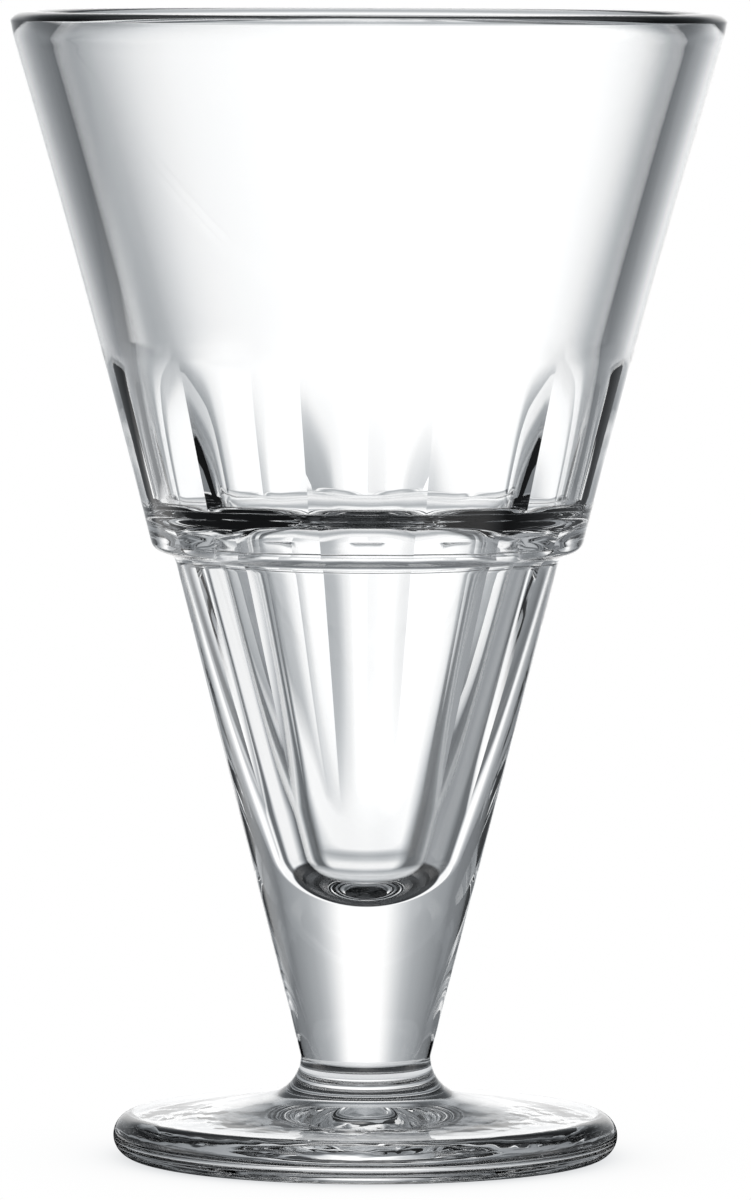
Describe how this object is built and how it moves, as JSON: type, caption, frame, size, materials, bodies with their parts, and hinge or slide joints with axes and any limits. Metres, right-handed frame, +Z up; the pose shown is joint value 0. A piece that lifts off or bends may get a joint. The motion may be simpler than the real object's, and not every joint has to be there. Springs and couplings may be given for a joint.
{
  "type": "ice cream coupe",
  "caption": "Clear pressed-glass coupe with a flaring conical bowl, inside flutes above and below an inner shoulder, a solid tapered stem and a round foot.",
  "frame": {"origin": "centre of the foot on the plane that the glass stands on", "axes": "+Z up along the axis of the glass; -Y is the side seen in the picture, with the middle of one inside flute on it"},
  "size_m": [0.106, 0.1062, 0.17],
  "materials": {
    "clear_glass": "fire-polished, clear"
  },
  "bodies": {
    "root": {"bowl": "clear_glass", "stem": "clear_glass", "foot": "clear_glass"}
  },
  "joints": []
}
